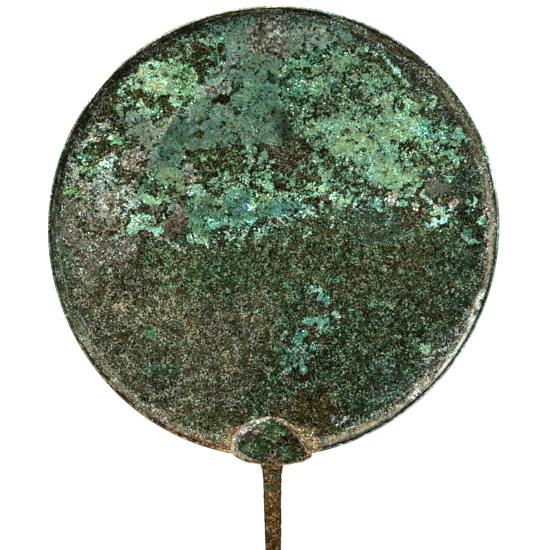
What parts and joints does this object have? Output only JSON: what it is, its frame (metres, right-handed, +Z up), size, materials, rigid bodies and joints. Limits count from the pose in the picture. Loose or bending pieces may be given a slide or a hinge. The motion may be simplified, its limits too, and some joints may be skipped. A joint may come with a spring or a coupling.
{
  "type": "bronze mirror",
  "caption": "Round patinated bronze hand mirror with a raised rim, a domed plate over its lower edge and a bare tapering tang for a lost handle.",
  "frame": {"origin": "the middle of the disc's underside, the polished face, on the surface that the mirror lies on", "axes": "+Z up, out of the rimmed side; +Y from the tang's end towards the far side of the disc; +X to the right, seen from above with the tang towards the viewer"},
  "size_m": [0.17, 0.2441, 0.0074],
  "materials": {
    "green_bronze": "cast bronze under a matt, crusty patina in dark olive, malachite green and turquoise",
    "brown_bronze": "brown bronze with a thin, speckled green and earthy patina"
  },
  "bodies": {
    "root": {"mirror_disc": "green_bronze", "handle": "brown_bronze"}
  },
  "joints": []
}
